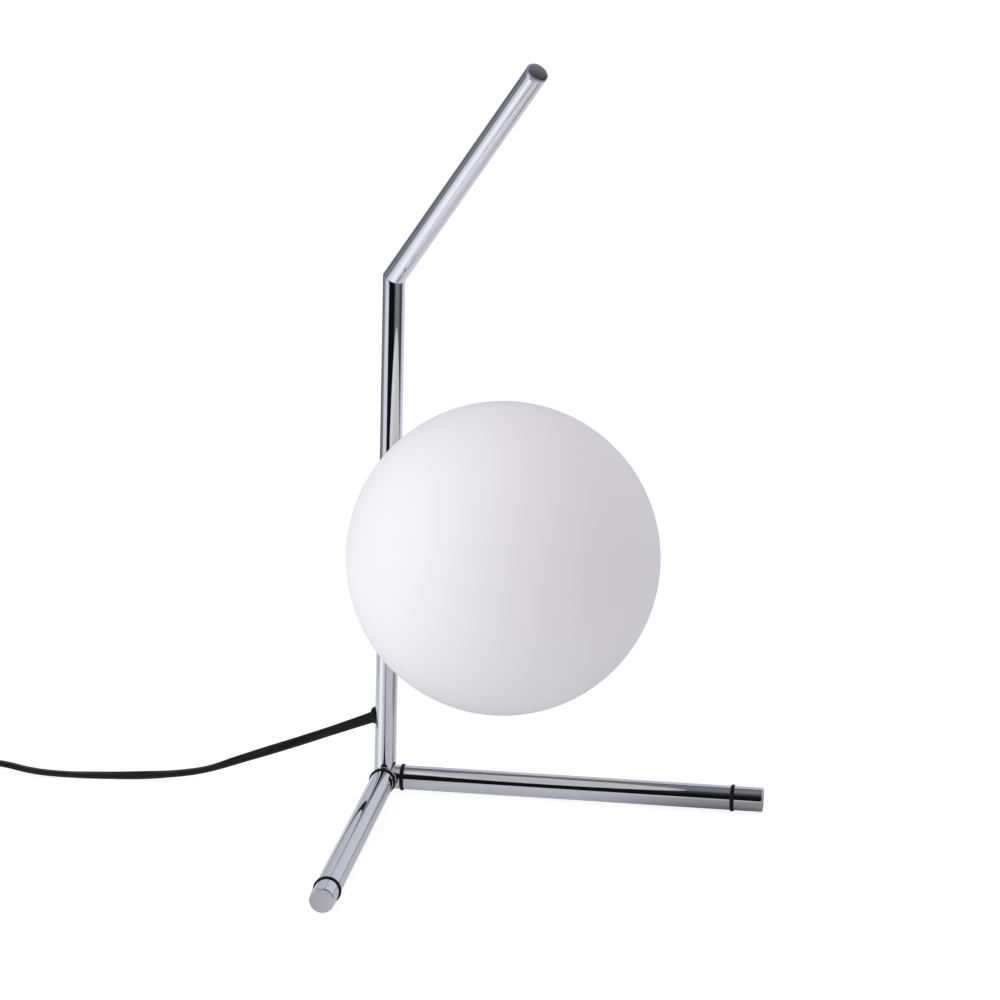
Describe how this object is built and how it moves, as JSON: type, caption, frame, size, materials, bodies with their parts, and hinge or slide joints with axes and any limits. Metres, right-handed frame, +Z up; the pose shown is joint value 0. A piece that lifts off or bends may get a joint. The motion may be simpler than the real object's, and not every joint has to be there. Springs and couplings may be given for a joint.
{
  "type": "globe table lamp",
  "caption": "Table lamp: an opal glass globe held in front of a bent chromed tube that stands on spread round legs, with a cord, inline switch and plug.",
  "frame": {"origin": "centre of the lamp's footprint on the table, at table height, without the cord and what is on it", "axes": "+Z up; the globe is in front of the column, towards -Y; the two legs lie on the table at 45 degrees each side of -Y; the cord leaves the column backwards and to the left, towards -X and +Y"},
  "size_m": [0.459, 0.5695, 0.5067],
  "materials": {
    "chrome": "polished chrome plating on steel",
    "black_rubber": "black rubber, satin",
    "clear_silicone": "translucent silicone",
    "opal_glass": "white opal glass, satin outside, alpha 1 because it hides the bulb",
    "zinc_steel": "zinc-plated steel",
    "brass": "bare brass",
    "nickel_plated_brass": "nickel-plated brass",
    "black_thermoset": "black thermoset, satin",
    "cream_insulator": "cream insulator",
    "white_plastic": "white plastic",
    "opal_plastic": "opal plastic dome, satin",
    "board_aluminium": "aluminium-backed lamp board",
    "brown_insulation": "brown wire insulation",
    "blue_insulation": "blue wire insulation",
    "cord_black": "black cord sheath, satin",
    "tie_black": "black strap tie",
    "switch_black": "black moulded plastic, fine grain",
    "plug_black": "black moulded plug, fine grain"
  },
  "bodies": {
    "stand": {"arm_end_cap": "chrome", "bulb_board": "board_aluminium", "bulb_cap": "nickel_plated_brass", "bulb_diffuser": "opal_plastic", "bulb_housing": "white_plastic", "carrier_gasket": "clear_silicone", "carrier_grip_ring": "clear_silicone", "carrier_nut": "zinc_steel", "carrier_washer": "zinc_steel", "coil_ties": "tie_black", "column_foot_plug": "zinc_steel", "column_tube": "chrome", "cord_coil": "cord_black", "cord_grommet": "black_rubber", "cord_lamp_run": "cord_black", "cord_plug_run": "cord_black", "cord_stop": "zinc_steel", "cord_switch_run": "cord_black", "cord_tail": "cord_black", "foot_ring_left_inner": "black_rubber", "foot_ring_left_outer": "black_rubber", "foot_ring_right_inner": "black_rubber", "foot_ring_right_outer": "black_rubber", "foot_screw": "zinc_steel", "foot_washer": "zinc_steel", "globe_boss": "chrome", "globe_carrier": "chrome", "hollow_nipple": "zinc_steel", "lampholder_base": "black_thermoset", "lampholder_contacts": "brass", "lampholder_grub_screw": "zinc_steel", "lampholder_insert": "cream_insulator", "lampholder_screw_shell": "nickel_plated_brass", "lampholder_shell": "black_thermoset", "lampholder_terminals": "brass", "left_leg": "chrome", "nipple_bush": "cream_insulator", "plug_body": "plug_black", "plug_pins": "nickel_plated_brass", "right_leg": "chrome", "switch_case_screws": "zinc_steel", "switch_cord_clamps": "switch_black", "switch_lower_shell": "switch_black", "switch_pivot": "zinc_steel", "switch_terminal_screws": "nickel_plated_brass", "switch_terminals": "brass", "switch_upper_shell": "switch_black", "upper_arm_tube": "chrome", "wire_live": "brown_insulation", "wire_neutral": "blue_insulation"},
    "globe": {"globe_shell": "opal_glass"},
    "rocker": {"switch_rocker": "switch_black", "switch_bridge": "brass"}
  },
  "joints": [
    {"name": "globe_pull", "type": "slide", "parent": "stand", "child": "globe", "axis": [0, -1, 0], "range_m": [0, 0.13]},
    {"name": "switch_rocker_tilt", "type": "hinge", "parent": "stand", "child": "rocker", "pos_m": [-0.2285, 0.30104, 0.013], "axis": [0.6561, 0.7547, 0], "range_deg": [0, 18]}
  ]
}
